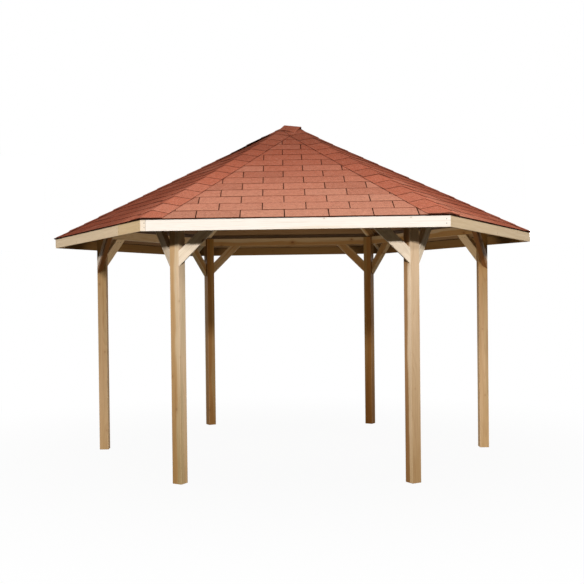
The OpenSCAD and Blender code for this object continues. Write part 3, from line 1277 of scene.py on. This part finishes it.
class MakeEavesFelt(bpy.types.Operator):
    """A thin strip of bitumen felt under the lowest course; its dark edge is partly painted shade
    under the shingles' overhang
    """
    bl_idname = "gazebo.eaves_felt"
    bl_label = "Eaves Felt"

    def execute(self, context):
        # The strip stands out a little less than the shingles, and its free edge droops unevenly.
        steps = 60
        reach = (SHINGLE_OUT - FASCIA_OUT - 0.0090) / PITCH_COS
        xs = [2 * share / steps - 1 for share in range(steps + 1)]
        ys = [-reach, -reach + 0.006, 0.0, 0.30]
        whole = bmesh.new()
        for number in range(6):
            draw = random.Random(900 + number)
            waves = [(draw.uniform(1.5, 9.0), draw.uniform(0, 6.3)) for _ in range(4)]

            def laid(x, y):
                """x runs from -1 to 1 along the side, y up the slope from the fascia's edge."""
                half = (FASCIA_OUT - y * PITCH_COS) * HEX_TAN
                droop = sum(math.sin(rate * x * 3 + start) for rate, start in waves) / 4
                edge = max(0.0, 1 - (y + 0.012) / 0.02)
                return x * half, y, 0.0004 + (0.0008 * droop - 0.0016) * edge * edge

            part = slab(xs, ys, FELT_THICK, laid)
            part.transform(face_frame(number))
            whole.from_mesh(part)
            bpy.data.meshes.remove(part)
        mesh = pour(whole, "eaves_felt")
        mesh.materials.append(finish_of("felt"))
        hand_over(show(mesh, "eaves_felt"), "shingles", "shingle_roof")
        return {"FINISHED"}


def backdrop_seen(tree):
    """1 for the rays from the camera, mirrors and glass, which see a plain white studio."""
    rays = tree.nodes.new("ShaderNodeLightPath").outputs
    return calc(tree, "MAXIMUM", rays["Is Camera Ray"],
                calc(tree, "MAXIMUM", rays["Is Glossy Ray"], rays["Is Transmission Ray"]))


def mix_out(tree, kind, share, first, second):
    """Ends a tree with a mix of two shaders."""
    mixed = node(tree, "ShaderNodeMixShader",
                 {0: share, 1: first.outputs[0], 2: second.outputs[0]})
    leave = tree.nodes.new("ShaderNodeOutput" + kind)
    tree.links.new(mixed.outputs[0], leave.inputs["Surface"])


WHITE = (1.0, 1.0, 1.0, 1.0)
MIDDLE = (0.0, 0.0, 1.8)
# Name, place, aim, power, width, depth, colour, and whether the camera sees it. The key is far
# and low, so the eaves' shadow is short and sharp.
LAMPS = [
    ("key", (1.55, -17.9, 6.0), MIDDLE, 3090.0, 0.9, 0.9, (1.0, 0.985, 0.96), True),
    ("left_fill", (-10.2, -5.9, 4.7), MIDDLE, 550.0, 2.0, 0.5, WHITE[:3], True),
    ("right_fill", (10.2, -5.9, 6.0), MIDDLE, 400.0, 2.0, 0.5, WHITE[:3], True),
    ("rear_left_fill", (-7.0, 9.5, 3.6), MIDDLE, 520.0, 4.0, 2.0, WHITE[:3], True),
    ("rear_right_fill", (7.0, 9.5, 3.6), MIDDLE, 520.0, 4.0, 2.0, WHITE[:3], True),
    ("under_roof", (0.2, -1.0, 0.9), (0.2, 0.9, 1.75), 30.0, 1.6, 0.5, (1.0, 0.82, 0.56), False),
]


class MakeStage(bpy.types.Operator):
    """Pale floor, white backdrop, studio lamps and the camera"""
    bl_idname = "gazebo.stage"
    bl_label = "Stage"

    def floor(self):
        """A wide floor that keeps the shadow and looks white from afar."""
        mesh = bpy.data.meshes.new("floor")
        far = 60.0
        mesh.from_pydata(
            [(-far, -far, 0.0), (far, -far, 0.0), (far, far, 0.0), (-far, far, 0.0)], [],
            [(0, 1, 2, 3)],
        )
        made = bpy.data.materials.new("studio_floor")
        made.use_nodes = True
        tree = made.node_tree
        tree.nodes.clear()
        plain = node(tree, "ShaderNodeBsdfDiffuse", {"Color": (0.13, 0.11, 0.075, 1.0)})
        white = node(tree, "ShaderNodeEmission", {"Color": WHITE, "Strength": 1.0})
        away = span(tree, length_of(tree, object_place(tree)), 1.2, 5.0, 0.955, 1.0)
        mix_out(tree, "Material", times(tree, backdrop_seen(tree), away), plain, white)
        mesh.materials.append(made)
        show(mesh, "studio_floor")

    def surroundings(self):
        """A white background that sheds hardly any light."""
        world = bpy.data.worlds.new("studio")
        world.use_nodes = True
        tree = world.node_tree
        tree.nodes.clear()
        dim = node(tree, "ShaderNodeBackground",
                   {"Color": (1.0, 0.97, 0.93, 1.0), "Strength": 0.03})
        white = node(tree, "ShaderNodeBackground", {"Color": WHITE, "Strength": 1.0})
        mix_out(tree, "World", backdrop_seen(tree), dim, white)
        bpy.context.scene.world = world

    def lamp(self, name, place, aim, power, width, depth, tint, seen):
        light = bpy.data.lights.new(name, "AREA")
        light.shape = "RECTANGLE"
        light.size = width
        light.size_y = depth
        light.energy = power
        light.color = tint
        made = show(light, name)
        made.visible_camera = seen
        made.location = place
        made.rotation_euler = (Vector(aim) - Vector(place)).to_track_quat("-Z", "Y").to_euler()

    def camera(self):
        """A camera at eye height before the gazebo, level but for a slight tilt."""
        yaw, pitch, roll = -0.03529, -0.01153, -0.01191
        ahead = Vector((math.sin(yaw) * math.cos(pitch), math.cos(yaw) * math.cos(pitch),
                        math.sin(pitch)))
        right = Vector((math.cos(yaw), -math.sin(yaw), 0.0))
        above = right.cross(ahead)
        side = right * math.cos(roll) + above * math.sin(roll)
        top = above * math.cos(roll) - right * math.sin(roll)
        view = bpy.data.cameras.new("view")
        view.lens = 53.494
        view.sensor_width = 36.0
        view.shift_x = 0.0766
        view.shift_y = 0.0260
        view.clip_end = 200.0
        made = show(view, "view")
        turn = Matrix((side, top, -ahead)).transposed().to_4x4()
        turn.translation = Vector((-0.13248, -8.6239, 1.50221))
        made.matrix_world = turn
        bpy.context.scene.camera = made

    def execute(self, context):
        self.floor()
        self.surroundings()
        for lamp in LAMPS:
            self.lamp(*lamp)
        self.camera()
        context.scene.view_settings.view_transform = "Standard"
        return {"FINISHED"}


MAKERS = [
    MakePosts, MakeBeams, MakeBraces, MakeRafters, MakeBoards, MakeFascias, MakeFixings,
    MakeShingles, MakeHipCaps, MakePeakCap, MakeEavesFelt, MakeStage,
]


class GazeboPanel(bpy.types.Panel):
    """Lists the makers with the sizes and colours that they use"""
    bl_idname = "VIEW3D_PT_gazebo"
    bl_label = "Gazebo"
    bl_space_type = "VIEW_3D"
    bl_region_type = "UI"
    bl_category = "Gazebo"

    def draw(self, context):
        for maker in MAKERS:
            self.layout.operator(maker.bl_idname)
        for group in (context.scene.gazebo_sizes, context.scene.gazebo_colours):
            for key in group.bl_rna.properties.keys():
                if key not in ("rna_type", "name"):
                    self.layout.prop(group, key)


CLASSES = [GazeboSizes, GazeboColours, *MAKERS, GazeboPanel]


def register():
    for item in CLASSES:
        bpy.utils.register_class(item)
    bpy.types.Scene.gazebo_sizes = bpy.props.PointerProperty(type=GazeboSizes)
    bpy.types.Scene.gazebo_colours = bpy.props.PointerProperty(type=GazeboColours)


def unregister():
    del bpy.types.Scene.gazebo_colours
    del bpy.types.Scene.gazebo_sizes
    for item in reversed(CLASSES):
        bpy.utils.unregister_class(item)


def main():
    register()
    for maker in MAKERS:
        group, name = maker.bl_idname.split(".")
        getattr(getattr(bpy.ops, group), name)()
    bpy.context.view_layer.update()


if __name__ == "__main__":
    main()
